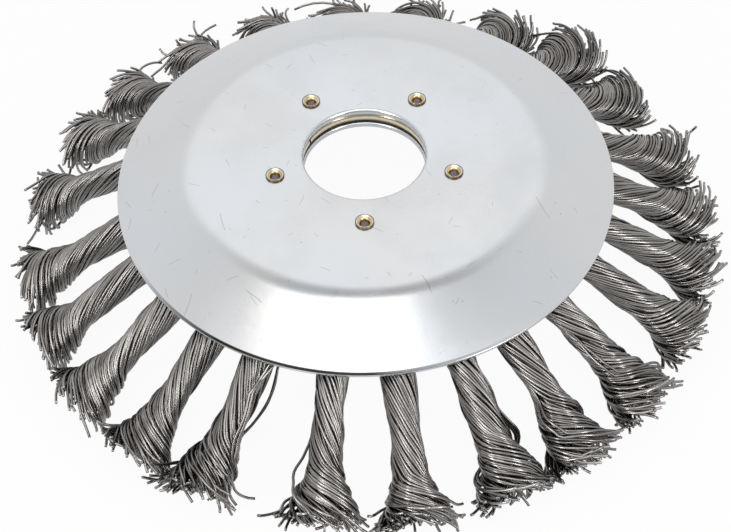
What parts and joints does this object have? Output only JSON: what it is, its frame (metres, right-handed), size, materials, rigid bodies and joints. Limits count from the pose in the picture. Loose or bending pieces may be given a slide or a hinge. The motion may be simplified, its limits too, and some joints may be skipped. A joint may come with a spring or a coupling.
{
  "type": "wire wheel brush",
  "caption": "Dished wire wheel brush with twisted wire knots held between two riveted sheet covers, for a rotating spindle through its centre bore.",
  "frame": {"origin": "middle of the spindle bore on the flat top face of the wide cover", "axes": "+Z along the spindle, out of the flat top face; the knots slope outwards and down"},
  "size_m": [0.1495, 0.1496, 0.03],
  "materials": {
    "zinc_plate": "bright zinc plating, smooth and lightly scratched",
    "yellow_passivated_steel": "dull yellow passivated steel",
    "plain_steel": "plain rolled steel",
    "rivet_steel": "plated steel with yellow passivation in the cup",
    "wire_steel": "drawn steel wire, semi bright with dark gaps between the wires"
  },
  "bodies": {
    "root": {"top_cover": "zinc_plate", "lower_cover": "zinc_plate", "spacer_ring": "yellow_passivated_steel", "knot_holder": "plain_steel", "rivets": "rivet_steel", "knot_01": "wire_steel", "knot_02": "wire_steel", "knot_03": "wire_steel", "knot_04": "wire_steel", "knot_05": "wire_steel", "knot_06": "wire_steel", "knot_07": "wire_steel", "knot_08": "wire_steel", "knot_09": "wire_steel", "knot_10": "wire_steel", "knot_11": "wire_steel", "knot_12": "wire_steel", "knot_13": "wire_steel", "knot_14": "wire_steel", "knot_15": "wire_steel", "knot_16": "wire_steel", "knot_17": "wire_steel", "knot_18": "wire_steel", "knot_19": "wire_steel", "knot_20": "wire_steel", "knot_21": "wire_steel", "knot_22": "wire_steel", "knot_23": "wire_steel", "knot_24": "wire_steel"}
  },
  "joints": []
}
